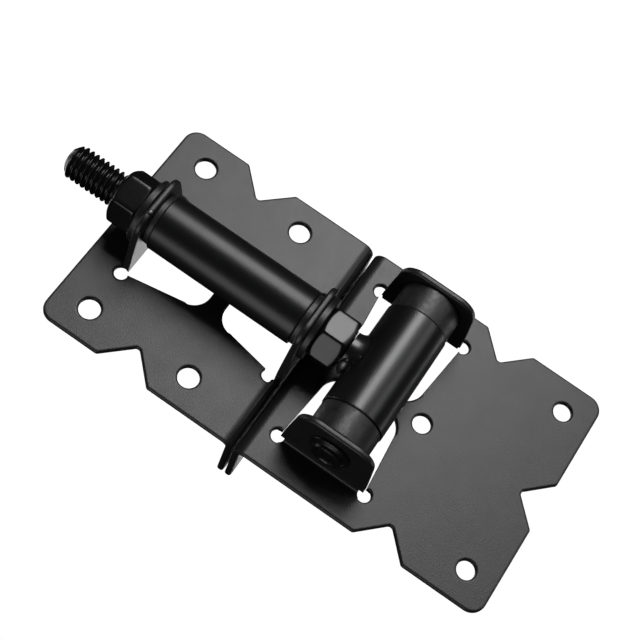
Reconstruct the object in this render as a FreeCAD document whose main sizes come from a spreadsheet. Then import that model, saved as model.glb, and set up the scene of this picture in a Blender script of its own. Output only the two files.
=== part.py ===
import FreeCAD, Part
import math
import os
import Sketcher

# Gate hinge for timber posts: two folded sheet leaves, a pivot barrel carried between the post leaf's ears,
# and a threaded stud, welded to the barrel, that carries the gate leaf and sets how far it stands from the post.
#
# The pivot's axis stands along Z. The leaves' back faces lie in the plane Y = 0, and the front looks along -Y.
# The stud and the gate leaf reach along +X, the post leaf along -X. The origin is on the plane of the back
# faces, straight behind the middle of the pivot.

# Driving sizes, in millimetres and degrees
DIMENSIONS = {
    "sheet_thickness": 2.5,
    "leaf_height": 94.0,
    "leaf_corner_radius": 5.6,
    "notch_root_radius": 1.5,
    "joint_offset": 28.0,
    "joint_gap": 0.8,
    "axis_height": 20.0,
    "flange_depth": 29.5,
    "flange_corner_radius": 3.0,
    "flange_fold_radius": 2.0,
    "ear_fold_radius": 1.0,
    "relief_hole_radius": 2.5,
    "relief_hole_place": 2.1,
    "relief_hole_spread": 0.4,
    "relief_hole_depth": 4.5,
    "neutral_layer_share": 0.42,
    "gate_leaf_width": 82.3,
    "gate_notch_place": 46.3,
    "gate_notch_depth": 10.6,
    "gate_hole_radius": 3.9,
    "gate_hole_place": 26.35,
    "gate_hole_spacing": 42.15,
    "gate_hole_rows": 70.4,
    "gate_window_web": 6.96,
    "gate_ear_past_axis": 12.0,
    "gate_ear_half_width": 17.2,
    "gate_ear_tip_half_width": 12.0,
    "gate_ear_corner_radius": 7.0,
    "post_leaf_width": 100.0,
    "post_notch_place": 59.1,
    "post_notch_depth": 9.9,
    "post_hole_radius": 3.4,
    "post_hole_margin": 11.8,
    "post_hole_rows": 70.2,
    "post_middle_hole_place": 48.5,
    "post_window_web": 5.36,
    "post_ear_past_axis": 13.0,
    "post_ear_half_width": 17.5,
    "post_ear_tip_half_width": 14.5,
    "post_ear_corner_radius": 8.0,
    "barrel_radius": 11.9,
    "barrel_bore_radius": 8.5,
    "bush_radius": 11.5,
    "bush_head_length": 10.45,
    "bush_spigot_length": 9.0,
    "bush_spigot_clearance": 0.05,
    "bush_end_play": 0.15,
    "pin_radius": 4.75,
    "pin_seat_clearance": 0.03,
    "pin_running_clearance": 0.08,
    "pin_head_radius": 8.0,
    "pin_head_rim_height": 0.9,
    "pin_head_height": 3.0,
    "pin_head_face_radius": 5.4,
    "pin_head_dish_radius": 4.4,
    "pin_head_dish_depth": 0.5,
    "pin_rivet_radius": 7.0,
    "pin_rivet_height": 2.0,
    "stud_radius": 6.35,
    "stud_past_nut": 21.9,
    "stud_end_chamfer": 1.3,
    "stud_running_clearance": 0.08,
    "stud_loose_clearance": 0.35,
    "bead_radius": 9.3,
    "bead_neck_radius": 7.2,
    "bead_shoulder": 0.4,
    "bead_clearance": 0.5,
    "sleeve_radius": 10.65,
    "sleeve_bore_radius": 7.9,
    "ring_radius": 9.8,
    "ring_width": 2.2,
    "washer_radius": 12.4,
    "washer_width": 2.5,
    "nut_flats": 19.05,
    "nut_height": 10.8,
    "nut_chamfer_angle": 30.0,
    "nut_face_share": 0.95,
    "inner_nut_turn": 6.0,
    "outer_nut_turn": 47.0,
}

document = FreeCAD.newDocument("GateHinge")
sheet = document.addObject("Spreadsheet::Sheet", "Sizes")
for row, (alias, amount) in enumerate(DIMENSIONS.items(), start=1):
    sheet.set(f"A{row}", alias)
    sheet.set(f"B{row}", str(amount))
    sheet.setAlias(f"B{row}", alias)
document.recompute()


class Size:
    """A size from the sheet, or arithmetic on such sizes, kept both as a number and as a formula."""

    def __init__(self, number, formula):
        self.number = number
        self.formula = formula

    @staticmethod
    def of(other):
        return other if isinstance(other, Size) else Size(float(other), repr(float(other)))

    def __add__(self, other):
        other = Size.of(other)
        return Size(self.number + other.number, f"({self.formula} + {other.formula})")

    def __sub__(self, other):
        other = Size.of(other)
        return Size(self.number - other.number, f"({self.formula} - {other.formula})")

    def __mul__(self, other):
        other = Size.of(other)
        return Size(self.number * other.number, f"({self.formula} * {other.formula})")

    def __truediv__(self, other):
        other = Size.of(other)
        return Size(self.number / other.number, f"({self.formula} / {other.formula})")

    def __neg__(self):
        return Size(-self.number, f"(0 - {self.formula})")

    def __rsub__(self, other):
        return Size.of(other) - self


def size(alias):
    return Size(float(sheet.get(alias)), f"Sizes.{alias}")


def bind(feature, name, amount):
    feature.setExpression(name, Size.of(amount).formula)


# An ear is cut free on three sides from the leaf and folded up. The length of sheet in its fold is an arc of
# the neutral layer, so the window that the ear leaves is a little shorter than the ear is tall.
thickness = size("sheet_thickness")
ear_outer_fold = size("ear_fold_radius") + thickness
fold_length = (size("ear_fold_radius") + thickness * size("neutral_layer_share")) * (math.pi / 2)
fold_loss = ear_outer_fold * 2 - fold_length
axis_height = size("axis_height")
gate_ear_height = axis_height + size("gate_ear_past_axis")
post_ear_height = axis_height + size("post_ear_past_axis")
gate_window_length = gate_ear_height - fold_loss
post_window_length = post_ear_height - fold_loss

# Other sizes that several pieces share. Two facing ears come out of one strip, so their windows and the web left
# between them set how far apart the ears stand.
half_height = size("leaf_height") / 2
gate_face = size("joint_offset") + size("joint_gap") / 2
post_face = size("joint_offset") - size("joint_gap") / 2
flange_outer_fold = size("flange_fold_radius") + thickness
gate_ear_spacing = gate_window_length * 2 + size("gate_window_web")
inner_ear_inside = gate_face + thickness
outer_ear_inside = inner_ear_inside + gate_ear_spacing
outer_ear_outside = outer_ear_inside + thickness
post_ear_inside = post_window_length + size("post_window_web") / 2
post_ear_outside = post_ear_inside + thickness
bush_end = post_ear_inside - size("bush_end_play")
barrel_half = bush_end - size("bush_head_length")
stud_hole_radius = size("stud_radius") + size("stud_running_clearance")
loose_hole_radius = size("stud_radius") + size("stud_loose_clearance")
pin_hole_radius = size("pin_radius") + size("pin_seat_clearance")
inner_nut_start = gate_face - size("washer_width") - size("nut_height")
outer_nut_start = outer_ear_outside + size("washer_width")
stud_end = outer_nut_start + size("nut_height") + size("stud_past_nut")


def new_body(label):
    body = document.addObject("PartDesign::Body", label)
    body.Label = label
    return body


def new_sketch(body, role, offset=None):
    """A sketch on one of the body's own planes, moved along that plane's normal by the offset."""
    sketch = body.newObject("Sketcher::SketchObject", "Sketch")
    plane = [item for item in body.Origin.OriginFeatures if item.Role == role][0]
    sketch.AttachmentSupport = [(plane, "")]
    sketch.MapMode = "FlatFace"
    if offset is not None:
        bind(sketch, "AttachmentOffset.Base.z", offset)
    return sketch


def hold(sketch, geometry, point, place):
    """Holds a point of the geometry at its place by its two distances from the origin."""
    for kind, amount in zip(("DistanceX", "DistanceY"), place):
        amount = Size.of(amount)
        index = sketch.addConstraint(Sketcher.Constraint(kind, -1, 1, geometry, point, amount.number))
        bind(sketch, f"Constraints[{index}]", amount)


def draw_outline(sketch, corners):
    """A closed outline of straight lines through the corners."""
    first = sketch.GeometryCount
    count = len(corners)
    points = [FreeCAD.Vector(Size.of(x).number, Size.of(y).number, 0) for x, y in corners]
    for index in range(count):
        line = Part.LineSegment(points[index], points[(index + 1) % count])
        sketch.addGeometry(line, False)
    for index in range(count):
        following = first + (index + 1) % count
        sketch.addConstraint(Sketcher.Constraint("Coincident", first + index, 2, following, 1))
    for index, place in enumerate(corners):
        hold(sketch, first + index, 1, place)


def draw_circle(sketch, place, radius):
    across, up = Size.of(place[0]), Size.of(place[1])
    centre = FreeCAD.Vector(across.number, up.number, 0)
    index = sketch.addGeometry(Part.Circle(centre, FreeCAD.Vector(0, 0, 1), radius.number), False)
    hold(sketch, index, 3, (across, up))
    limit = sketch.addConstraint(Sketcher.Constraint("Radius", index, radius.number))
    bind(sketch, f"Constraints[{limit}]", radius)


def add_feature(body, kind, sketch, merge=True):
    """A new feature on the sketch. Without merge, faces that meet in one plane stay apart."""
    feature = body.newObject(kind, kind.split("::")[1])
    feature.Profile = sketch
    feature.Refine = merge
    sketch.Visibility = False
    return feature


def volume_of(body):
    tip = body.Tip
    return tip.Shape.Volume if tip is not None and not tip.Shape.isNull() else 0.0


def settle(body, feature, before, grows):
    """Recomputes and stops with a message if the feature added or cut nothing."""
    document.recompute()
    change = feature.Shape.Volume - before
    if (change > 0) != grows or abs(change) < 1e-6:
        raise RuntimeError(f"{body.Label}: {feature.Label} changes the volume by {change:.4f}")
    return feature


def pad(body, sketch, length, symmetric=False, merge=True):
    before = volume_of(body)
    feature = add_feature(body, "PartDesign::Pad", sketch, merge)
    feature.SideType = "Symmetric" if symmetric else "One side"
    bind(feature, "Length", length)
    return settle(body, feature, before, True)


def pocket_through(body, sketch, merge=True):
    before = volume_of(body)
    feature = add_feature(body, "PartDesign::Pocket", sketch, merge)
    feature.SideType = "Two sides"
    feature.Type = "ThroughAll"
    feature.Type2 = "ThroughAll"
    return settle(body, feature, before, False)


def pocket_plate(body, sketch, front=None, merge=True):
    """Cuts the leaf's plate, past its front face by the given depth and past its back face by the sheet."""
    before = volume_of(body)
    feature = add_feature(body, "PartDesign::Pocket", sketch, merge)
    feature.SideType = "Two sides"
    bind(feature, "Length", thickness)
    bind(feature, "Length2", front if front is not None else thickness * 2)
    return settle(body, feature, before, False)


def turn(body, sketch, kind="PartDesign::Revolution"):
    """A full turn of the sketch about the body's own Z axis."""
    before = volume_of(body)
    feature = add_feature(body, kind, sketch)
    axis = [item for item in body.Origin.OriginFeatures if item.Role == "Z_Axis"][0]
    feature.ReferenceAxis = (axis, [""])
    feature.Angle = 360
    return settle(body, feature, before, kind.endswith("Revolution"))


def edges_on(body, **place):
    """Names of the tip's edges that lie wholly at the given coordinates, such as x=3 and y=0.

    A pair of coordinates asks for an edge that runs from the lower to the higher one."""
    names = []
    for index, edge in enumerate(body.Tip.Shape.Edges, start=1):
        box = edge.BoundBox
        spans = {"x": (box.XMin, box.XMax), "y": (box.YMin, box.YMax), "z": (box.ZMin, box.ZMax)}
        fits = True
        for axis, amount in place.items():
            ends = amount if isinstance(amount, tuple) else (amount, amount)
            fits = fits and all(abs(spans[axis][end] - Size.of(ends[end]).number) < 1e-4 for end in (0, 1))
        if fits:
            names.append(f"Edge{index}")
    return names


def dress(body, kind, names, amount, merge=True):
    """A fillet or chamfer on the named edges of the tip."""
    if not names:
        raise RuntimeError(f"{body.Label}: no edge to dress")
    base = body.Tip
    feature = body.newObject(kind, kind.split("::")[1])
    feature.Base = (base, names)
    feature.Refine = merge
    bind(feature, "Radius" if kind.endswith("Fillet") else "Size", amount)
    base.Visibility = False
    document.recompute()
    if not feature.isValid() or feature.Shape.isNull():
        raise RuntimeError(f"{body.Label}: {feature.Label} failed")
    return feature


def fillet(body, names, radius, merge=True):
    return dress(body, "PartDesign::Fillet", names, radius, merge)


def chamfer(body, names, amount):
    return dress(body, "PartDesign::Chamfer", names, amount)


def fold_profile(body, face, side):
    """Plate and flange as one L section: side is +1 for the leaf that reaches along +X."""
    width = size("gate_leaf_width") if side > 0 else size("post_leaf_width")
    inside = face + thickness * side
    far = face + width * side
    depth = size("flange_depth")
    sketch = new_sketch(body, "XY_Plane")
    corners = [(face, -thickness), (face, depth), (inside, depth), (inside, 0), (far, 0), (far, -thickness)]
    draw_outline(sketch, corners)
    pad(body, sketch, size("leaf_height"), symmetric=True)
    fillet(body, edges_on(body, x=face, y=-thickness), flange_outer_fold)
    fillet(body, edges_on(body, x=inside, y=0), size("flange_fold_radius"))
    for up in (half_height, -half_height):
        fillet(body, edges_on(body, x=far, z=up), size("leaf_corner_radius"))
        fillet(body, edges_on(body, y=depth, z=up), size("flange_corner_radius"))


def edge_notches(body, place, depth):
    """A V notch with square sides in the top and the bottom edge."""
    sketch = new_sketch(body, "XZ_Plane")
    for up in (1, -1):
        edge = half_height * up
        beyond = edge + depth * (0.5 * up)
        root = edge - depth * up
        corners = [(place - depth * 1.5, beyond), (place, root), (place + depth * 1.5, beyond)]
        draw_outline(sketch, corners)
    pocket_plate(body, sketch)
    for up in (1, -1):
        root = half_height * up - depth * up
        shoulders = [(place - depth, half_height * up), (place + depth, half_height * up)]
        for across, height in [(place, root)] + shoulders:
            fillet(body, edges_on(body, x=across, z=height), size("notch_root_radius"))


def tapered(base_half, tip_half, base, tip):
    """Corners of a window or an ear: base_half wide at the base, tip_half wide at the tip."""
    return [(base, -base_half), (tip, -tip_half), (tip, tip_half), (base, base_half)]


def make_gate_leaf():
    """Leaf on the gate: two ears across the stud, the inner one in line with the flange."""
    body = new_body("gate_leaf")
    fold_profile(body, gate_face, 1)
    edge_notches(body, gate_face + size("gate_notch_place"), size("gate_notch_depth"))

    base_half, tip_half = size("gate_ear_half_width"), size("gate_ear_tip_half_width")
    spread = base_half + size("relief_hole_spread")
    inner_tip = inner_ear_inside + gate_window_length
    outer_tip = outer_ear_inside - gate_window_length
    windows = new_sketch(body, "XZ_Plane")
    draw_outline(windows, tapered(base_half, tip_half, inner_ear_inside, inner_tip))
    draw_outline(windows, tapered(base_half, tip_half, outer_ear_inside, outer_tip))
    pocket_plate(body, windows)
    for tip in (inner_tip, outer_tip):
        for across in (tip_half, -tip_half):
            fillet(body, edges_on(body, x=tip, z=across), size("gate_ear_corner_radius"))

    top = -gate_ear_height
    outer_ear = new_sketch(body, "YZ_Plane", outer_ear_inside)
    draw_outline(outer_ear, tapered(base_half, tip_half, 0, top))
    pad(body, outer_ear, thickness)
    for across in (tip_half, -tip_half):
        fillet(body, edges_on(body, y=top, z=across), size("gate_ear_corner_radius"))
    reliefs = new_sketch(body, "XZ_Plane")
    for across in (spread, -spread):
        draw_circle(reliefs, (outer_ear_inside + size("relief_hole_place"), across), size("relief_hole_radius"))
    pocket_plate(body, reliefs, size("relief_hole_depth"))
    fillet(body, edges_on(body, x=outer_ear_inside, y=0), ear_outer_fold)
    fillet(body, edges_on(body, x=outer_ear_outside, y=-thickness), size("ear_fold_radius"))

    holes = new_sketch(body, "XZ_Plane")
    for column in (0, 1):
        along = gate_face + size("gate_hole_place") + size("gate_hole_spacing") * column
        for up in (0.5, -0.5):
            draw_circle(holes, (along, size("gate_hole_rows") * up), size("gate_hole_radius"))
    pocket_through(body, holes)

    # The inner ear and the flange share one plane but stay two faces, parted where the flange's fold would be
    inner_ear = new_sketch(body, "YZ_Plane", gate_face)
    draw_outline(inner_ear, tapered(base_half, tip_half, size("flange_fold_radius") * 2, top))
    pad(body, inner_ear, thickness, merge=False)
    for across in (tip_half, -tip_half):
        fillet(body, edges_on(body, x=(gate_face, inner_ear_inside), y=top, z=across),
               size("gate_ear_corner_radius"), merge=False)
    root_reliefs = new_sketch(body, "XZ_Plane")
    for across in (spread, -spread):
        draw_circle(root_reliefs, (gate_face + flange_outer_fold, across), size("relief_hole_radius"))
    pocket_plate(body, root_reliefs, size("relief_hole_depth"), merge=False)

    bore = new_sketch(body, "YZ_Plane")
    draw_circle(bore, (-axis_height, 0), stud_hole_radius)
    pocket_through(body, bore, merge=False)


def make_post_leaf():
    """Leaf on the post: two ears across the pivot's axis, and notches in all three free edges."""
    body = new_body("post_leaf")
    fold_profile(body, post_face, -1)
    edge_notches(body, post_face - size("post_notch_place"), size("post_notch_depth"))

    far = post_face - size("post_leaf_width")
    depth = size("post_notch_depth")
    end_notch = new_sketch(body, "XZ_Plane")
    corners = [(far - depth * 0.5, depth * 1.5), (far + depth, 0), (far - depth * 0.5, -(depth * 1.5))]
    draw_outline(end_notch, corners)
    pocket_plate(body, end_notch)
    for along, up in ((far + depth, 0), (far, depth), (far, -depth)):
        fillet(body, edges_on(body, x=along, z=up), size("notch_root_radius"))

    base_half, tip_half = size("post_ear_half_width"), size("post_ear_tip_half_width")
    windows = new_sketch(body, "XZ_Plane")
    for up in (1, -1):
        base, tip = post_ear_inside * up, size("post_window_web") * (up / 2)
        draw_outline(windows, [(along, height) for height, along in tapered(base_half, tip_half, base, tip)])
    pocket_plate(body, windows)
    for up in (1, -1):
        tip = size("post_window_web") * (up / 2)
        for across in (tip_half, -tip_half):
            fillet(body, edges_on(body, x=across, z=tip), size("post_ear_corner_radius"))

    top = -post_ear_height
    for start in (post_ear_inside, -post_ear_outside):
        ear = new_sketch(body, "XY_Plane", start)
        draw_outline(ear, [(along, height) for height, along in tapered(base_half, tip_half, 0, top)])
        pad(body, ear, thickness)
        for across in (tip_half, -tip_half):
            fillet(body, edges_on(body, x=across, y=top), size("post_ear_corner_radius"))
    reliefs = new_sketch(body, "XZ_Plane")
    for up in (1, -1):
        height = (post_ear_inside + size("relief_hole_place")) * up
        for across in (base_half + size("relief_hole_spread"), -base_half - size("relief_hole_spread")):
            draw_circle(reliefs, (across, height), size("relief_hole_radius"))
    pocket_plate(body, reliefs, size("relief_hole_depth"))
    for up in (1, -1):
        fillet(body, edges_on(body, y=0, z=post_ear_inside * up), ear_outer_fold)
        fillet(body, edges_on(body, y=-thickness, z=post_ear_outside * up), size("ear_fold_radius"))

    holes = new_sketch(body, "XZ_Plane")
    for up in (0.5, -0.5):
        outer = (far + size("post_hole_margin"), size("post_hole_rows") * up)
        draw_circle(holes, outer, size("post_hole_radius"))
    draw_circle(holes, (post_face - size("post_middle_hole_place"), 0), size("post_hole_radius"))
    pocket_through(body, holes)

    bore = new_sketch(body, "XY_Plane")
    draw_circle(bore, (0, -axis_height), pin_hole_radius)
    pocket_through(body, bore)


def stand_on_pivot(body):
    """Puts a piece, made about its own Z axis, on the pivot's axis."""
    bind(body, "Placement.Base.y", -axis_height)


def lay_on_stud(body, start):
    """Puts a piece, made about its own Z axis, on the stud's axis with its Z = 0 at the start."""
    body.Placement = FreeCAD.Placement(FreeCAD.Vector(), FreeCAD.Rotation(FreeCAD.Vector(0, 1, 0), 90))
    bind(body, "Placement.Base.x", start)
    bind(body, "Placement.Base.y", -axis_height)


def make_tube(label, radius, bore_radius, length, start=None):
    body = new_body(label)
    sketch = new_sketch(body, "XY_Plane", start)
    draw_circle(sketch, (0, 0), radius)
    draw_circle(sketch, (0, 0), bore_radius)
    pad(body, sketch, length)
    return body


def make_barrel():
    radius, bore = size("barrel_radius"), size("barrel_bore_radius")
    body = make_tube("pivot_barrel", radius, bore, barrel_half * 2, -barrel_half)
    stand_on_pivot(body)


def make_bush(label, up):
    """Flanged plastic bush: its spigot fills the barrel's end, and its head runs against the ear."""
    body = new_body(label)
    bore = size("pin_radius") + size("pin_running_clearance")
    spigot = size("barrel_bore_radius") - size("bush_spigot_clearance")
    root = barrel_half - size("bush_spigot_length")
    profile = [(bore, root), (spigot, root), (spigot, barrel_half), (size("bush_radius"), barrel_half),
               (size("bush_radius"), bush_end), (bore, bush_end)]
    sketch = new_sketch(body, "XZ_Plane")
    draw_outline(sketch, [(across, height * up) for across, height in profile])
    turn(body, sketch)
    stand_on_pivot(body)


def make_pin():
    """Pivot pin: a dished button head over the upper ear, and a riveted end under the lower ear."""
    body = new_body("pivot_pin")
    radius = size("pin_radius")
    head = post_ear_outside
    face = head + size("pin_head_height")
    foot = -post_ear_outside
    tail = foot - size("pin_rivet_height")
    profile = [(0, tail), (radius, tail), (size("pin_rivet_radius"), foot - size("pin_rivet_height") / 2),
               (size("pin_rivet_radius"), foot), (radius, foot), (radius, head),
               (size("pin_head_radius"), head), (size("pin_head_radius"), head + size("pin_head_rim_height")),
               (size("pin_head_face_radius"), face), (size("pin_head_dish_radius"), face),
               (size("pin_head_dish_radius"), face - size("pin_head_dish_depth")),
               (0, face - size("pin_head_dish_depth"))]
    sketch = new_sketch(body, "XZ_Plane")
    draw_outline(sketch, profile)
    turn(body, sketch)
    stand_on_pivot(body)


def cut_by_barrel(body):
    """Fits a piece, made from the pivot's axis outwards, to the barrel's round wall."""
    saddle = new_sketch(body, "YZ_Plane")
    draw_circle(saddle, (0, 0), size("barrel_radius"))
    pocket_through(body, saddle)


def make_stud():
    """Threaded rod: its root is shaped to the barrel, and its free end is chamfered."""
    body = new_body("threaded_stud")
    sketch = new_sketch(body, "XY_Plane")
    draw_circle(sketch, (0, 0), size("stud_radius"))
    pad(body, sketch, stud_end)
    chamfer(body, edges_on(body, z=stud_end), size("stud_end_chamfer"))
    cut_by_barrel(body)
    lay_on_stud(body, 0)


def make_bead():
    """Weld bead round the stud's root: wide on the barrel, narrowing to a neck short of the inner nut."""
    body = new_body("weld_bead")
    inside = size("stud_radius")
    end = inner_nut_start - size("bead_clearance")
    wide = size("bead_radius")
    shoulder = size("barrel_radius") + size("bead_shoulder")
    low = size("barrel_radius") / 4
    profile = [(inside, low), (wide, low), (wide, shoulder), (size("bead_neck_radius"), end), (inside, end)]
    sketch = new_sketch(body, "XZ_Plane")
    draw_outline(sketch, profile)
    turn(body, sketch)
    cut_by_barrel(body)
    lay_on_stud(body, 0)


def make_sleeve():
    """Spacer tube that keeps the gate leaf's ears apart when the nuts are tight."""
    length = gate_ear_spacing - size("ring_width") * 2
    body = make_tube("spacer_sleeve", size("sleeve_radius"), size("sleeve_bore_radius"), length)
    lay_on_stud(body, inner_ear_inside + size("ring_width"))


def make_ring(label, start):
    body = make_tube(label, size("ring_radius"), loose_hole_radius, size("ring_width"))
    lay_on_stud(body, start)


def make_washer(label, start):
    body = make_tube(label, size("washer_radius"), loose_hole_radius, size("washer_width"))
    lay_on_stud(body, start)


def make_nut(label, start, turned):
    """Hexagon nut, its corners cut back by a cone at both faces."""
    body = new_body(label)
    height = size("nut_height")
    corner = size("nut_flats") / math.sqrt(3)
    sketch = new_sketch(body, "XY_Plane")
    angles = [math.radians(turned.number + 60 * step) for step in range(6)]
    draw_outline(sketch, [(corner * math.cos(angle), corner * math.sin(angle)) for angle in angles])
    draw_circle(sketch, (0, 0), stud_hole_radius)
    pad(body, sketch, height)
    slope = math.tan(math.radians(size("nut_chamfer_angle").number))
    face_radius = size("nut_flats") * (size("nut_face_share") / 2)
    outside = corner * 1.1
    drop = (outside - face_radius) * slope
    cone = new_sketch(body, "XZ_Plane")
    draw_outline(cone, [(face_radius, 0), (outside, 0), (outside, drop)])
    draw_outline(cone, [(face_radius, height), (outside, height), (outside, height - drop)])
    turn(body, cone, "PartDesign::Groove")
    lay_on_stud(body, start)


make_post_leaf()
make_pin()
make_barrel()
make_bush("upper_bush", 1)
make_bush("lower_bush", -1)
make_stud()
make_bead()
make_gate_leaf()
make_sleeve()
make_ring("inner_ring", inner_ear_inside)
make_ring("outer_ring", outer_ear_inside - size("ring_width"))
make_washer("inner_washer", gate_face - size("washer_width"))
make_washer("outer_washer", outer_ear_outside)
make_nut("inner_nut", inner_nut_start, size("inner_nut_turn"))
make_nut("outer_nut", outer_nut_start, size("outer_nut_turn"))

document.recompute()
for item in document.Objects:
    if "Invalid" in item.State or "Error" in item.State:
        raise RuntimeError(f"{item.Label} did not rebuild: {item.State}")
bodies = [item for item in document.Objects if item.TypeId == "PartDesign::Body"]
for body in bodies:
    if body.Shape.isNull() or not body.Shape.isValid() or len(body.Shape.Solids) != 1:
        raise RuntimeError(f"{body.Label} is not one sound solid")

os.makedirs("parts", exist_ok=True)
for body in bodies:
    body.Shape.exportStep(f"parts/{body.Label}.step")
    print(f"{body.Label:16s} {body.Shape.Volume:10.1f} mm3")
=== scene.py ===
# %% [markdown]
# # Dressing an adjustable gate hinge
# This hinge hangs a wooden gate on a post. One folded leaf is screwed to the post and carries an upright barrel on
# a pin. A threaded rod stands out from the barrel, and the gate's leaf is clamped on that rod between two nuts.
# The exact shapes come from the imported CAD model, which is loaded first and stays where it is. Blender adds what
# the CAD leaves out: the thread, the softened corners of the nuts, the lumps of the weld, the hammered ends of the
# pin, the rounded rims of the pressed leaves, the black coat, and the light.

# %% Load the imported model
import math

import bmesh
import bpy
from mathutils import Matrix, Vector
from mathutils.bvhtree import BVHTree
from mathutils.noise import noise as noise_at


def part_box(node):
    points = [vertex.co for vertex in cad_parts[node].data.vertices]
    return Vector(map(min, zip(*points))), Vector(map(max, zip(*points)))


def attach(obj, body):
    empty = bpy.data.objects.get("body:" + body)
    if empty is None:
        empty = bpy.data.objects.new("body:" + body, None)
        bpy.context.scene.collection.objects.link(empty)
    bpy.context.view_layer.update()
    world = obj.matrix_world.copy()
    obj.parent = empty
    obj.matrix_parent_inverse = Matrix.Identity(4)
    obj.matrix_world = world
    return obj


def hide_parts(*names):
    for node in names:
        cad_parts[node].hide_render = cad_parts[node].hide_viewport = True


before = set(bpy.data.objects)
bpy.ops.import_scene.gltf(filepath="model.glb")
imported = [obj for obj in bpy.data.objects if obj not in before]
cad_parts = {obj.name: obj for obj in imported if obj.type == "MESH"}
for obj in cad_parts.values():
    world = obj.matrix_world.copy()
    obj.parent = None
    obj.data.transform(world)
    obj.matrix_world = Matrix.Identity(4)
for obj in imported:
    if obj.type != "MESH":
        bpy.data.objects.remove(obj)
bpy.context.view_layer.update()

MM = 0.001
print("CAD nodes:", sorted(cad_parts))

# %% [markdown]
# ## Where the camera stands
# The photograph looks down on the pivot from the front, with the hinge turned so that its long side runs across the
# picture from corner to corner. A camera's own axes say that best: its right, its up, and the way back from the
# lens. They were found by laying the CAD's edges on the picture, so they are written as one matrix here instead of
# being turned by hand.

# %% Camera
FILM_WIDTH, LENS_LENGTH = 36, 76.66       # mm
camera_place = Vector((-4.4, -444.9, 190.5)) * MM
camera_right = Vector((-0.8226, -0.1815, -0.5388))
camera_up = Vector((0.5642, -0.3776, -0.7342))
camera_back = Vector((-0.0702, -0.9080, 0.4130))

lens = bpy.data.cameras.new("hinge_camera")
lens.sensor_width = FILM_WIDTH
lens.lens = LENS_LENGTH
camera = bpy.data.objects.new("hinge_camera", lens)
bpy.context.collection.objects.link(camera)
turned = Matrix((camera_right, camera_up, camera_back)).transposed().to_4x4()
camera.matrix_world = Matrix.Translation(camera_place) @ turned
bpy.context.scene.camera = camera
print("camera is", round(camera_place.length, 3), "m from the origin")

# %% [markdown]
# ## A place to build new meshes
# Every new piece is made from rows of points: a thread, a nut and a weld bead are all surfaces that run round an
# axis. A grid of rows, joined by four-sided faces, gives full control of where the edges fall, which modifiers or
# sculpting would not. The last helper closes the rows into rings, shades them smooth and marks only the sharp edges.
# The two before it serve every new piece: one makes it an object, the other lets it move with a body of the hinge.

# %% Helpers: a new object, and the body it moves with
def new_object(name, build):
    mesh = bpy.data.meshes.new(name)
    build.to_mesh(mesh)
    build.free()
    made = bpy.data.objects.new(name, mesh)
    bpy.context.collection.objects.link(made)
    return made


def join_body(piece, body, cad_node=None):
    if cad_node:
        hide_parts(cad_node)
    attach(piece, body)
    print(piece.name, "has", len(piece.data.polygons), "faces and moves with the body", body)

# %% Helper: a skin stretched over rings of points
SAME_POINT = 1e-7             # metres; points closer than this become one


def skin_rings(name, rings, sharp_degrees, close_start=True, close_end=True, climb=0):
    """Stretch faces over rings; climb is how many rows further each ring ends than it starts, for a helix."""
    build = bmesh.new()
    rows = [[build.verts.new(point) for point in ring] for ring in rings]
    last = len(rows) - 1
    for i in range(last):
        near = rows[i] + [rows[min(i + climb, last)][0]]
        far = rows[i + 1] + [rows[min(i + 1 + climb, last)][0]]
        for k in range(len(rows[i])):
            corners = dict.fromkeys((near[k], near[k + 1], far[k + 1], far[k]))
            if len(corners) > 2:
                build.faces.new(corners)
    if close_start:
        build.faces.new(rows[0])
    if close_end:
        build.faces.new(rows[-1])
    bmesh.ops.remove_doubles(build, verts=build.verts, dist=SAME_POINT)
    bmesh.ops.dissolve_degenerate(build, edges=build.edges, dist=SAME_POINT)
    bmesh.ops.recalc_face_normals(build, faces=build.faces)
    piece = new_object(name, build)
    piece.data.shade_smooth()
    piece.data.set_sharp_from_angle(angle=math.radians(sharp_degrees))
    return piece

# %% [markdown]
# ## The threaded rod
# The rod is a half-inch stud with twelve turns to the inch. Its thread is a ridge that climbs as it goes round.
# A straight stack of rings would cut across that ridge and leave it ragged, so each ring is sheared along the rod
# by one pitch per turn. Then every row of points follows the ridge, and its crest and root stay crisp.

# %% Rod sizes and its ridge
AXIS_Y = -20.0                # the rod lies along x at this y; all sizes are in mm
ROD_START, ROD_END = 14.7, 132.0
ROD_RADIUS = 6.5              # the thread's crest, coat included
THREAD_PITCH = 2.117
THREAD_DEPTH = 1.4
END_ROUND_LENGTH, END_ROUND_DEPTH = 2.4, 2.6
END_ROUND_BEND = 1.15         # 1 would be a straight chamfer

# Share of the pitch, and how far below the crest the surface lies there (1 is the root)
RIDGE = ((0.00, 0.00), (0.07, 0.00), (0.13, 0.06), (0.22, 0.26), (0.34, 0.58), (0.45, 0.88),
         (0.51, 0.98), (0.56, 1.00), (0.61, 0.98), (0.67, 0.88), (0.78, 0.58), (0.90, 0.26), (0.96, 0.06))


def end_limit(place):
    from_end = min(place - ROD_START, ROD_END - place)
    near_end = max(0.0, 1 - from_end / END_ROUND_LENGTH)
    return ROD_RADIUS - END_ROUND_DEPTH * near_end ** END_ROUND_BEND


def around_rod(along, radius, angle):
    return Vector((along, AXIS_Y + radius * math.cos(angle), radius * math.sin(angle))) * MM

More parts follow.
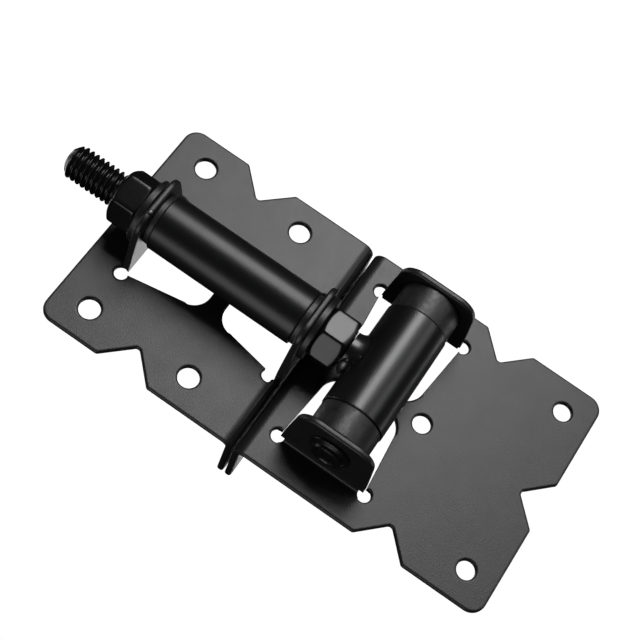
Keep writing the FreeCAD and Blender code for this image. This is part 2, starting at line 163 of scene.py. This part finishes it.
# %% The rod itself
ROD_COLUMNS = 56
turns = int((ROD_END - ROD_START) / THREAD_PITCH) + 2
rod_rings = []
for turn in range(-1, turns):
    for share, depth in RIDGE:
        ring = []
        for column in range(ROD_COLUMNS):
            angle = 2 * math.pi * column / ROD_COLUMNS
            along = ROD_START + (turn + share + column / ROD_COLUMNS) * THREAD_PITCH
            along = min(max(along, ROD_START), ROD_END)
            radius = min(ROD_RADIUS - THREAD_DEPTH * depth, end_limit(along))
            ring.append(around_rod(along, radius, angle))
        rod_rings.append(ring)
print(len(rod_rings), "rows of", ROD_COLUMNS, "points")
rod = skin_rings("threaded_rod", rod_rings, sharp_degrees=50, climb=len(RIDGE))
join_body(rod, "pivot", "threaded_stud")

# %% [markdown]
# ## The nuts
# A nut is a hexagonal bar whose corners were turned off at both ends, which leaves curved edges on every flat.
# Cutting a cone from a hexagon with a boolean gives those curves too, but it leaves thin faces that catch the light.
# Here the surface is worked out directly: at each angle the wall stands at the hexagon or at the cone, whichever is
# nearer to the middle.

# %% Nut sizes
NUT_FLATS = 19.05
NUT_HEIGHT = 10.8
CORNER_SOFTNESS = 44          # higher is a sharper corner
CONE_FACE = 9.0               # radius of the round face left by the turning tool
CONE_RISE = 1.75              # how fast the cone opens, per mm along the nut
CONE_BLEND = 26               # higher is a sharper edge between cone and flat
SECTOR_STEPS = 14             # columns in each sixth of a turn
CORNER_CROWDING = 0.65        # below 1, the columns stand closer together at the corners


def hexagon_radius(angle):
    pull = sum(abs(math.cos(angle - k * math.pi / 3)) ** CORNER_SOFTNESS for k in range(6)) / 2
    return NUT_FLATS / 2 * pull ** (-1 / CORNER_SOFTNESS)


def nearer_wall(flat, cone):
    return (flat ** -CONE_BLEND + cone ** -CONE_BLEND) ** (-1 / CONE_BLEND)

# %% A nut's surface, from one bore edge out over the flats to the other
BORE_STEPS = ((6.45, 2.4), (6.5, 0.75), (7.25, 0.0), (8.2, 0.0))     # radius, depth below the nut's face
WALL_DEPTHS = (0.0, 0.12, 0.35, 0.7, 1.1, 1.6, 2.2, 3.2)             # depths at which the wall is worked out


def nut_rings(start, corner_turn):
    angles = []
    for corner in range(6):
        for k in range(SECTOR_STEPS):
            share = k / SECTOR_STEPS - 0.5
            bent = 0.5 + 0.5 * math.copysign(abs(2 * share) ** CORNER_CROWDING, share)
            angles.append(math.radians(corner_turn + 60 * (corner + bent)))
    near_half = list(BORE_STEPS) + [(None, depth) for depth in WALL_DEPTHS]
    far_half = [(radius, NUT_HEIGHT - depth) for radius, depth in reversed(near_half)]
    return [[nut_point(start, along, radius, angle, corner_turn) for angle in angles]
            for radius, along in near_half + far_half]


def nut_point(start, along, radius, angle, corner_turn):
    """A point of the nut; without a radius it lies on the wall, where hexagon and cone meet."""
    if radius is None:
        from_face = min(along, NUT_HEIGHT - along)
        flat = hexagon_radius(angle - math.radians(corner_turn + 30))
        radius = nearer_wall(flat, CONE_FACE + CONE_RISE * from_face)
    return Vector((start + along, AXIS_Y + radius * math.sin(angle), -radius * math.cos(angle))) * MM

# %% Both nuts
INNER_NUT_START, INNER_NUT_TURN = 15.1, 6.0
OUTER_NUT_START, OUTER_NUT_TURN = 99.3, 47.0

near_nut = skin_rings("near_nut_body", nut_rings(INNER_NUT_START, INNER_NUT_TURN), sharp_degrees=38,
                      close_start=False, close_end=False)
far_nut = skin_rings("far_nut_body", nut_rings(OUTER_NUT_START, OUTER_NUT_TURN), sharp_degrees=38,
                     close_start=False, close_end=False)
join_body(near_nut, "near_nut", "inner_nut")
join_body(far_nut, "far_nut", "outer_nut")

# %% [markdown]
# ## The weld
# The rod's root is welded to the barrel all round. A hand-made weld is laid pool by pool, so it is a chain of soft
# lumps, hollow towards the rod and spread towards the barrel. It is built as rings that shrink from a saddle on the
# barrel to the rod, and every lump swells the rings that cross it. At the end of one pool the metal has run out into
# a drop that set before it fell.

# %% The weld's sizes and lumps
BARREL_RADIUS = 11.9
WELD_FOOT, WELD_NECK = 8.0, 6.7           # radii at the barrel and at the rod
WELD_REACH = 14.6                         # where it ends, from the barrel's middle
WELD_HOLLOW = 2.2                         # higher is a deeper hollow between the two
WELD_SUNK = 0.15                          # how far the foot goes into the barrel
LEVEL_CROWDING = 1.15                     # above 1, the rings stand closer together at the barrel
WELD_LEVELS, WELD_COLUMNS = 26, 240
LUMP_FADE = 6                             # every lump fades out over the last sixth of the way to the rod
LUMP_FULLNESS = 0.55                      # lower is a lump with a flatter top and steeper sides

# Lumps: angle round the rod in degrees, place from barrel (0) to rod (1), height in mm, half sizes of both
LUMPS = ((102, 0.58, 1.3, 26, 0.40), (144, 0.20, 0.40, 15, 0.26), (66, 0.30, 0.5, 17, 0.25),
         (20, 0.45, 0.6, 18, 0.30), (330, 0.35, 0.8, 20, 0.30), (288, 0.50, 0.5, 18, 0.30))


def weld_swell(degrees, level):
    swell = 0.0
    for middle, place, height, half_angle, half_level in LUMPS:
        round_gap = (degrees - middle + 180) % 360 - 180
        inside = 1 - (round_gap / half_angle) ** 2 - ((level - place) / half_level) ** 2
        if inside > 0:
            swell = max(swell, height * inside ** LUMP_FULLNESS)
    return swell

# %% The weld itself
weld_rings = []
for step in range(WELD_LEVELS + 1):
    level = step / WELD_LEVELS
    hollow = WELD_FOOT + (WELD_NECK - WELD_FOOT) * (1 - (1 - level) ** WELD_HOLLOW)
    fade_at_rod = min(1, LUMP_FADE * (1 - level))
    ring = []
    for column in range(WELD_COLUMNS):
        angle = 2 * math.pi * column / WELD_COLUMNS
        radius = hollow + weld_swell(math.degrees(angle), level) * fade_at_rod
        foot = math.sqrt(BARREL_RADIUS ** 2 - (WELD_FOOT * math.cos(angle)) ** 2) - WELD_SUNK
        along = foot + (WELD_REACH - foot) * level ** LEVEL_CROWDING
        ring.append(around_rod(along, radius, angle))
    weld_rings.append(ring)
weld = skin_rings("weld_pools", weld_rings, sharp_degrees=70, close_start=False)
join_body(weld, "pivot", "weld_bead")

# %% Helper: an uneven drop, and the one that ran out of the weld
DENT_HEIGHT, DENT_SPREAD = 0.2, 0.9
DRIP_PLACE, DRIP_HALF_SIZES, DRIP_SEED = (12.9, -22.6, 8.3), (1.65, 1.7, 2.6), 9.0     # mm


def add_drop(build, centre, turn, half_sizes, seed):
    """Add a ball stretched to three half sizes in mm, dented slowly all over so that it isn't a perfect one."""
    made = bmesh.ops.create_icosphere(build, subdivisions=4, radius=1.0)
    for vert in made["verts"]:
        dent = 1 + DENT_HEIGHT * noise_at(vert.co * DENT_SPREAD + Vector((seed, 0, 0)))
        vert.co = centre + turn @ Vector([part * half * MM * dent for part, half in zip(vert.co, half_sizes)])


drip_build = bmesh.new()
add_drop(drip_build, Vector(DRIP_PLACE) * MM, Matrix.Identity(3), DRIP_HALF_SIZES, DRIP_SEED)
weld_drip = new_object("weld_drip", drip_build)
weld_drip.data.shade_smooth()
join_body(weld_drip, "pivot")

# %% [markdown]
# ## The forged pin
# The pin is pushed through both ears and riveted. Its head was forged: a low skirt, a steep shoulder, and a flat top
# with a rough hollow where the tool pressed. A lathe profile gives all of it in one list of radius and height, and a
# little noise on the top stands for the scale that forging leaves. The edge of the top catches one thin line of
# light.

# %% Pin profile in pairs of radius and height, from the riveted tail up to the head
pin_low, pin_high = (corner[2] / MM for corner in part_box("pivot_pin"))
PIN_TAIL = ((0.5, 0.0), (3.0, 0.02), (4.4, 0.08), (5.6, 0.3), (6.5, 0.75), (6.95, 1.3), (7.0, 1.95), (4.75, 2.0))
PIN_HEAD = ((4.75, -3.0), (7.7, -3.0), (7.93, -2.88), (8.0, -2.65), (7.95, -2.3), (7.7, -2.0), (7.2, -1.78),
            (6.7, -1.6), (6.35, -1.35), (6.15, -1.0), (6.0, -0.5), (5.93, -0.28), (5.82, -0.12), (5.65, -0.02),
            (5.4, 0.0), (5.1, 0.0), (4.8, -0.06), (4.5, -0.25), (4.2, -0.5), (3.7, -0.62), (3.2, -0.6), (2.7, -0.45),
            (2.2, -0.42), (1.7, -0.5), (1.2, -0.55), (0.7, -0.5), (0.3, -0.48))
SCALE_HEIGHT, SCALE_SPREAD = 0.16, 0.9
SCALE_REACH = 5.2             # the radius inside which the head is rough
PIN_COLUMNS = 120

# %% The pin itself
pin_rings = []
for radius, height in PIN_TAIL + PIN_HEAD:
    from_head = (radius, height) in PIN_HEAD
    place = pin_high + height if from_head else pin_low + height
    ring = []
    for column in range(PIN_COLUMNS):
        angle = 2 * math.pi * column / PIN_COLUMNS
        x, y = radius * math.sin(angle), radius * math.cos(angle)
        rough = 0.0
        if from_head and radius < SCALE_REACH:
            rough = noise_at(Vector((x, y, 3.0)) * SCALE_SPREAD) * SCALE_HEIGHT
        ring.append(Vector((x, AXIS_Y + y, place + rough)) * MM)
    pin_rings.append(ring)
pin = skin_rings("forged_pin", pin_rings, sharp_degrees=50)
join_body(pin, "post", "pivot_pin")

# %% [markdown]
# ## Rounded rims on the small parts
# Turned parts never keep a knife edge: the rims are tumbled smooth, and the coat rounds them further. The CAD keeps
# those rims sharp, so modifiers round them here without touching its vertices. One joins the seams between the CAD's
# faces, one clears the triangles out of flat areas, and the bevel then has clean rims to follow. The last one points
# the shading straight off the flat faces again.

# %% Round the rims of the CAD's own nodes
RIM_ANGLE = math.radians(35)          # an edge that turns more than this is a rim
SEAM = 0.002 * MM                     # points closer than this are one
FLAT = math.radians(0.2)              # faces that turn less than this are one
RIM_STEPS = 4
RIM_RADIUS = {"pivot_barrel": 0.45, "spacer_sleeve": 0.4, "inner_washer": 0.4, "outer_washer": 0.4,
              "inner_ring": 0.3, "outer_ring": 0.3, "upper_bush": 0.4, "lower_bush": 0.4}


def round_rims(node, radius):
    node.modifiers.new("joined_seams", "WELD").merge_threshold = SEAM
    flats = node.modifiers.new("clear_flats", "DECIMATE")
    flats.decimate_type = "DISSOLVE"
    flats.angle_limit = FLAT
    rims = node.modifiers.new("rounded_rims", "BEVEL")
    rims.width = radius * MM
    rims.segments = RIM_STEPS
    rims.limit_method = "ANGLE"
    rims.angle_limit = RIM_ANGLE
    rims.use_clamp_overlap = False
    node.modifiers.new("flat_shading", "WEIGHTED_NORMAL").keep_sharp = True


for node_name, radius in RIM_RADIUS.items():
    round_rims(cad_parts[node_name], radius)
    print(node_name, "has rims rounded by", radius, "mm")

# %% [markdown]
# ## The two pressed leaves
# The leaves are cut from thick sheet and folded, and under their coat every rim is rounded by almost a millimetre.
# That dark rounded line round each plate and hole is what makes the sheet look thick. One bevel over the whole leaf
# would fold over itself in the tight corners beside the relief holes, so the leaf is tried again and again: where a
# trial goes wrong, that short stretch of rim stays sharp, until nothing goes wrong any more.

# %% Find where a trial has gone wrong
LEAF_RIM = 0.9 * MM
FOLDED = math.radians(110)            # an edge that turns more than this lies in a fold of the mesh over itself
ASTRAY = 0.5 * LEAF_RIM               # no point of a good trial lies further than this from the plain leaf
SPARE = 1.2 * MM                      # how far round a wrong place the rim stays sharp
SAME_PLACE = 0.3 * SPARE              # wrong places closer than this count once
TINY = 1e-12                          # keeps an edge without length from dividing by nought


def clear_copy(node):
    build = bmesh.new()
    build.from_mesh(node.data)
    bmesh.ops.remove_doubles(build, verts=build.verts, dist=SEAM)
    bmesh.ops.dissolve_limit(build, angle_limit=FLAT, verts=build.verts, edges=build.edges)
    return build


def turn_at(edge):
    return edge.calc_face_angle() if edge.is_manifold else 0.0


def folded_places(build):
    return [(edge.verts[0].co + edge.verts[1].co) / 2 for edge in build.edges if turn_at(edge) > FOLDED]


def wrong_places(build, true_surface):
    astray = [vert.co.copy() for vert in build.verts
              if true_surface.find_nearest(vert.co)[3] > ASTRAY]      # the fourth value is the distance
    return folded_places(build) + astray


def is_near(edge, places):
    start, end = (vert.co for vert in edge.verts)
    along = end - start
    for place in places:
        share = max(0.0, min(1.0, (place - start).dot(along) / max(along.length_squared, TINY)))
        if (start + along * share - place).length < SPARE:
            return True
    return False

# %% Try the leaf until its rims are clean
LEAF_TRIALS = 8


def rounded_leaf(node_name, body):
    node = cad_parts[node_name]
    plain = clear_copy(node)
    true_surface = BVHTree.FromBMesh(plain)
    kept_sharp = folded_places(plain)
    plain.free()
    for trial in range(LEAF_TRIALS):
        build = clear_copy(node)
        rims = [edge for edge in build.edges if turn_at(edge) > RIM_ANGLE and not is_near(edge, kept_sharp)]
        bmesh.ops.bevel(build, geom=rims, offset=LEAF_RIM, offset_type="OFFSET", segments=RIM_STEPS, profile=0.5,
                        affect="EDGES", clamp_overlap=False)
        wrong = [place for place in wrong_places(build, true_surface)
                 if all((place - known).length > SAME_PLACE for known in kept_sharp)]
        print(node_name, "trial", trial, "rounds", len(rims), "rims and goes wrong at", len(wrong), "places")
        if not wrong:
            break
        kept_sharp += wrong
        build.free()
    leaf = new_object(node_name + "_pressed", build)
    leaf.data.shade_smooth()
    leaf.data.set_sharp_from_angle(angle=RIM_ANGLE)
    leaf.modifiers.new("flat_shading", "WEIGHTED_NORMAL").keep_sharp = True
    join_body(leaf, body, node_name)
    return leaf


post_leaf = rounded_leaf("post_leaf", "post")
gate_leaf = rounded_leaf("gate_leaf", "gate")

# %% [markdown]
# ## Drops in the coat
# Where a coat gathers in a corner it dries as small drops. Three sit where the inner ear leaves the leaf, and one on
# the outer ear's rim. Each starts as a ball, is pressed flat against the nearest point of the leaf, and is made a
# little uneven, because a perfect ball would look stuck on.

# %% Four drops on the gate leaf
DROPS = (((31.2, 2.4, 17.2), 0.75), ((29.9, -2.1, 16.4), 0.6),       # place near the leaf, and radius, in mm
         ((29.4, 3.0, 17.2), 0.65), ((95.2, -32.2, 5.3), 0.95))
DROP_LENGTH, DROP_HEIGHT = 1.3, 0.4                                  # shares of the radius
SEED_STEP = 10.0                                                     # gives every drop dents of its own

drop_build = bmesh.new()
for number, (place, size) in enumerate(DROPS):
    _, foot, outward, _ = gate_leaf.closest_point_on_mesh(Vector(place) * MM)
    upright = outward.to_track_quat("Z", "Y").to_matrix()
    add_drop(drop_build, foot, upright, (size, DROP_LENGTH * size, DROP_HEIGHT * size), SEED_STEP * number)
    print("drop at", [round(value / MM, 1) for value in foot])
drops = new_object("coat_drops", drop_build)
drops.data.shade_smooth()
join_body(drops, "gate")

# %% [markdown]
# ## Building a finish from nodes
# A finish is a shader fed by patterns. A few helpers keep the cells short. The first starts a material with its
# shader ready. The second adds a node, sets its values and plugs in its inputs. The others make a cloudy pattern,
# spread it between two values, and mix two colours by it. Patterns are read in object coordinates, which are metres
# here, so a pattern's scale is simply how many features fit in a metre.

# %% Helpers for node materials
def new_finish(name):
    finish = bpy.data.materials.new(name)
    finish.use_nodes = True
    return finish, finish.node_tree, finish.node_tree.nodes["Principled BSDF"]


def add_node(tree, kind, inputs=None, **settings):
    node = tree.nodes.new(kind)
    for key, value in settings.items():
        setattr(node, key, value)
    for key, value in (inputs or {}).items():
        if isinstance(value, bpy.types.NodeSocket):
            tree.links.new(value, node.inputs[key])
        else:
            node.inputs[key].default_value = value
    return node


def noise(tree, per_metre, detail=2.0, roughness=0.5):
    place = add_node(tree, "ShaderNodeTexCoord").outputs["Object"]
    cloud = add_node(tree, "ShaderNodeTexNoise",
                     {"Vector": place, "Scale": per_metre, "Detail": detail, "Roughness": roughness})
    return cloud.outputs["Fac"]


def spread(tree, pattern, low, high, start=0.3, end=0.7):
    """Turn a pattern's values from start to end into values from low to high."""
    mapped = add_node(tree, "ShaderNodeMapRange",
                      {"Value": pattern, "From Min": start, "From Max": end, "To Min": low, "To Max": high})
    return mapped.outputs["Result"]


def blend_colours(tree, share, dark, pale):
    """Mix two colours; the node keeps its colour sockets at places 6 and 7, and the result at 2."""
    mix = add_node(tree, "ShaderNodeMix", data_type="RGBA")
    for socket, value in ((mix.inputs[0], share), (mix.inputs[6], dark), (mix.inputs[7], pale)):
        if isinstance(value, bpy.types.NodeSocket):
            tree.links.new(value, socket)
        else:
            socket.default_value = value
    return mix.outputs[2]

# %% [markdown]
# ## The black coat
# All the steel wears a baked black powder coat. It melts into a satin skin with a fine orange-peel texture, gathers
# a little cloudiness, and draws thin over edges. The edges are painted paler, partly for that worn thin coat and
# partly as a painted highlight for the thin lines of light along the rims. The Bevel node rounds the shading of edges
# without touching the CAD meshes, and comparing its direction with the real one finds those edges for free.

# %% One recipe for every coated piece
SMEAR = 0.015                 # how far the gloss wanders to either side


def grey(level):
    return (level, level, level * 1.02, 1.0)      # with a touch of blue, like black paint in daylight


# The pale edge level is the colour painted on the rims: partly coat worn thin, partly a painted highlight.
def black_coat(name, base, gloss, shine=0.5, peel=1.0, edge_round=0.4, pale_wear_and_highlight=0.02):
    finish, tree, shader = new_finish(name)
    rounded = add_node(tree, "ShaderNodeBevel", {"Radius": edge_round * MM}, samples=6).outputs["Normal"]
    true = add_node(tree, "ShaderNodeNewGeometry").outputs["Normal"]
    turned_away = add_node(tree, "ShaderNodeVectorMath", {0: rounded, 1: true}, operation="DOT_PRODUCT")
    edge = spread(tree, turned_away.outputs["Value"], low=1.0, high=0.0, start=0.72, end=0.92)
    cloud = noise(tree, per_metre=60.0, detail=5.0, roughness=0.7)
    patches = spread(tree, noise(tree, per_metre=260.0, detail=2.0), low=0.45, high=0.8)
    # Pale rims in patches: partly wear of the coat, partly a painted highlight along the edges.
    wear_and_highlight_mask = add_node(tree, "ShaderNodeMath", {0: edge, 1: patches}, operation="MULTIPLY")
    cloudy = spread(tree, cloud, low=0.0, high=1.0)
    body_colour = blend_colours(tree, cloudy, dark=grey(base * 0.9), pale=grey(base * 1.1))
    colour = blend_colours(tree, wear_and_highlight_mask.outputs["Value"], body_colour, grey(pale_wear_and_highlight))
    tree.links.new(colour, shader.inputs["Base Color"])
    smears = noise(tree, per_metre=150.0, detail=4.0, roughness=0.7)
    satin = spread(tree, smears, low=gloss - SMEAR, high=gloss + SMEAR)
    tree.links.new(satin, shader.inputs["Roughness"])
    waves = add_node(tree, "ShaderNodeBump", {"Height": noise(tree, per_metre=110.0, detail=1.0), "Normal": rounded,
                                              "Strength": 0.09 * peel, "Distance": 0.3 * MM})
    grain = add_node(tree, "ShaderNodeBump", {"Height": noise(tree, per_metre=2000.0, detail=2.0),
                                              "Normal": waves.outputs["Normal"],
                                              "Strength": 0.5 * peel, "Distance": 0.08 * MM})
    tree.links.new(grain.outputs["Normal"], shader.inputs["Normal"])
    shader.inputs["Specular IOR Level"].default_value = shine
    print(name, "base", base, "roughness near", gloss)
    return finish


leaf_coat = black_coat("leaf_coat_satin", base=0.008, gloss=0.42, peel=1.3, edge_round=0.5)
tube_coat = black_coat("tube_coat_satin", base=0.006, gloss=0.30, peel=0.6, edge_round=0.6)
sleeve_coat = black_coat("sleeve_coat_satin", base=0.006, gloss=0.34, shine=0.36, peel=0.6, edge_round=0.6)
washer_coat = black_coat("washer_coat", base=0.010, gloss=0.36, shine=0.36, peel=1.6, edge_round=0.3)
# Nuts and thread get paler painted edges: partly wear, partly a painted highlight on corners and crests.
nut_coat = black_coat("nut_coat", base=0.006, gloss=0.24, shine=0.38, peel=0.7, edge_round=0.4, pale_wear_and_highlight=0.05)
thread_coat = black_coat("thread_coat", base=0.006, gloss=0.22, peel=0.5, edge_round=0.1, pale_wear_and_highlight=0.04)
weld_coat = black_coat("weld_coat", base=0.008, gloss=0.26, peel=0.6, edge_round=0.2)
pin_coat = black_coat("pin_coat", base=0.006, gloss=0.27, shine=0.32, peel=1.5, edge_round=0.8)

# %% [markdown]
# ## Moulded plastic
# The bushes in the barrel and the two thin rings beside the sleeve are black nylon. It is duller than the coat, has
# the faint matt grain of its mould, and shows a few flow streaks. The same helpers give it, with less gloss.

# %% Black nylon
def nylon(name):
    finish, tree, shader = new_finish(name)
    rounded = add_node(tree, "ShaderNodeBevel", {"Radius": 0.35 * MM}, samples=6).outputs["Normal"]
    streaks = spread(tree, noise(tree, per_metre=180.0, detail=4.0, roughness=0.6), low=0.0, high=1.0)
    colour = blend_colours(tree, streaks, dark=grey(0.008), pale=grey(0.016))
    tree.links.new(colour, shader.inputs["Base Color"])
    matt = spread(tree, noise(tree, per_metre=500.0, detail=3.0), low=0.36, high=0.52)
    tree.links.new(matt, shader.inputs["Roughness"])
    grain = add_node(tree, "ShaderNodeBump", {"Height": noise(tree, per_metre=1500.0, detail=3.0, roughness=0.6),
                                              "Normal": rounded, "Strength": 0.7, "Distance": 0.1 * MM})
    tree.links.new(grain.outputs["Normal"], shader.inputs["Normal"])
    return finish


bush_nylon = nylon("bush_nylon")
print(bush_nylon.name, "has", len(bush_nylon.node_tree.nodes), "nodes")

# %% Give each piece its finish
coats = {"pivot_barrel": tube_coat, "spacer_sleeve": sleeve_coat,
         "inner_washer": washer_coat, "outer_washer": washer_coat,
         "upper_bush": bush_nylon, "lower_bush": bush_nylon, "inner_ring": bush_nylon, "outer_ring": bush_nylon}
for node_name, finish in coats.items():
    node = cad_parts[node_name]
    for slot in node.material_slots:
        slot.material = finish
    print(node_name, "wears", finish.name)
for piece, finish in ((post_leaf, leaf_coat), (gate_leaf, leaf_coat), (rod, thread_coat),
                      (near_nut, nut_coat), (far_nut, nut_coat), (pin, pin_coat),
                      (weld, weld_coat), (weld_drip, leaf_coat), (drops, weld_coat)):
    piece.data.materials.append(finish)
    print(piece.name, "wears", finish.name)

# %% [markdown]
# ## The studio
# Black metal is seen by what it mirrors, so the lamps are placed by reflection. The leaves face the front, and the
# camera looks at them from a little above, so they mirror a spot in front of the hinge and below it: the main soft
# lamp hangs there. Two more, further round, give the tubes their long pale stripes, and one above draws the rims that
# face up. Others stand behind the hinge and beside it, where the front view mirrors nothing, so that the back and the
# gate's side can be read as well. The floor lies well below the hinge, clear of them all.

# %% Helper: a soft lamp that looks at the hinge
HINGE_MIDDLE = Vector((18.0, -12.0, 0.0)) * MM
LAMP_DISTANCE = 1.5           # metres


def soft_lamp(name, direction, width, height, glow):
    """Hang a lamp in a direction from the hinge; glow is how bright its face is, whatever its size."""
    light = bpy.data.lights.new(name, "AREA")
    light.shape = "RECTANGLE"
    light.size, light.size_y = width, height
    light.energy = glow * math.pi * width * height
    lamp = bpy.data.objects.new(name, light)
    bpy.context.collection.objects.link(lamp)
    away = Vector(direction).normalized()
    aim = away.to_track_quat("Z", "Y").to_matrix().to_4x4()
    lamp.matrix_world = Matrix.Translation(HINGE_MIDDLE + away * LAMP_DISTANCE) @ aim
    lamp.visible_camera = False
    print(name, "gives", round(light.energy, 2), "W")

# %% Lamps for the front: name, direction from the hinge, width and height in metres, glow
soft_lamp("leaf_lamp", (0.095, -0.87, -0.485), 0.56, 0.90, 8.9)
soft_lamp("barrel_side_lamp", (-0.64, -0.65, -0.43), 0.50, 0.85, 1.9)
soft_lamp("barrel_rim_lamp", (-0.84, 0.35, -0.41), 0.36, 0.80, 2.2)
soft_lamp("top_lamp", (0.08, -0.08, 1.0), 0.80, 0.90, 2.5)

# %% Lamps for the back and the gate's side, in the same order
soft_lamp("back_lamp", (0.0, 0.92, -0.40), 0.95, 0.40, 3.0)
soft_lamp("back_post_lamp", (-0.72, 0.64, -0.22), 0.80, 0.70, 2.2)
soft_lamp("back_gate_lamp", (0.72, 0.64, -0.22), 0.80, 0.70, 2.2)
soft_lamp("gate_side_lamp", (0.96, 0.06, 0.10), 0.55, 0.50, 2.6)

# %% [markdown]
# ## The black tent
# In an all-white studio a black tube turns grey, because every side of it mirrors something pale. Photographers keep
# it black with dark cards. Here one dark tent stands round the hinge and its lamps. It has a single opening, at the
# front and below, through which the flat faces mirror the pale floor round the main lamp. It shows in reflections
# alone: the camera and the soft light pass through it.

# %% Tent with one opening
TENT_RADIUS = 1.9             # metres, so it stands outside the lamps
OPENING = Vector((-0.05, -0.87, -0.485))
OPENING_EDGE = 0.92           # cosine of the opening's half angle


def opens(direction):
    return direction.dot(OPENING) > OPENING_EDGE


tent_build = bmesh.new()
bmesh.ops.create_icosphere(tent_build, subdivisions=5, radius=TENT_RADIUS)
gaps = [face for face in tent_build.faces if opens(face.calc_center_median().normalized())]
print("the opening takes", len(gaps), "of the tent's", len(tent_build.faces), "panels")
bmesh.ops.delete(tent_build, geom=gaps, context="FACES")
tent = new_object("black_tent", tent_build)
tent.visible_camera = False
tent.visible_diffuse = False
tent.visible_shadow = False

tent_finish, _, tent_shader = new_finish("black_tent_cloth")
tent_shader.inputs["Base Color"].default_value = (0.004, 0.004, 0.004, 1)
tent_shader.inputs["Roughness"].default_value = 1.0
tent_shader.inputs["Specular IOR Level"].default_value = 0.0
tent.data.materials.append(tent_finish)

# %% [markdown]
# ## Floor and sky
# The background has to be plain white in the picture, yet a white room would light the hinge from all sides. So floor
# and sky look at what kind of ray meets them: they are white to the camera and to reflections, and the sky is a dim
# grey as a source of light. The floor is a real matt surface besides, so it keeps the hinge's soft shadow.

# %% Helper: one for rays that look, nought for rays that light
def white_where_seen(tree):
    path = add_node(tree, "ShaderNodeLightPath")
    seen = add_node(tree, "ShaderNodeMath", {0: path.outputs["Is Camera Ray"], 1: path.outputs["Is Glossy Ray"]},
                    operation="MAXIMUM")
    seen = add_node(tree, "ShaderNodeMath", {0: seen.outputs[0], 1: path.outputs["Is Transmission Ray"]},
                    operation="MAXIMUM")
    return seen.outputs[0]

# %% Sky
SKY_LIGHT = 0.15

sky = bpy.data.worlds.new("studio_sky")
sky.use_nodes = True
bpy.context.scene.world = sky
background = sky.node_tree.nodes["Background"]
sky_colour = blend_colours(sky.node_tree, white_where_seen(sky.node_tree), grey(SKY_LIGHT), (1, 1, 1, 1))
sky.node_tree.links.new(sky_colour, background.inputs["Color"])
print("sky gives", SKY_LIGHT, "of white as light")

# %% Floor
FLOOR_DEPTH, FLOOR_RADIUS = -2.0, 14.0            # metres
FLOOR_GLOW = 0.92             # with the light that falls on it, this comes out white

floor_build = bmesh.new()
bmesh.ops.create_circle(floor_build, cap_ends=True, segments=128, radius=FLOOR_RADIUS)
floor = new_object("studio_floor", floor_build)
floor.location.z = FLOOR_DEPTH

floor_finish, floor_tree, floor_shader = new_finish("studio_floor_white")
floor_shader.inputs["Base Color"].default_value = (0.8, 0.8, 0.8, 1)
floor_shader.inputs["Roughness"].default_value = 0.9
glow = add_node(floor_tree, "ShaderNodeEmission", {"Color": (1, 1, 1, 1)})
glow_level = add_node(floor_tree, "ShaderNodeMath", {0: white_where_seen(floor_tree), 1: FLOOR_GLOW},
                      operation="MULTIPLY")
floor_tree.links.new(glow_level.outputs[0], glow.inputs["Strength"])
both = add_node(floor_tree, "ShaderNodeAddShader", {0: floor_shader.outputs[0], 1: glow.outputs[0]})
floor_tree.links.new(both.outputs[0], floor_tree.nodes["Material Output"].inputs["Surface"])
floor.data.materials.append(floor_finish)
print("floor lies", -FLOOR_DEPTH, "m below the hinge")

# %% [markdown]
# ## Colour view
# The picture keeps Blender's Standard view, so that colours render as they are written.

# %% Finish
bpy.context.scene.view_settings.view_transform = "Standard"
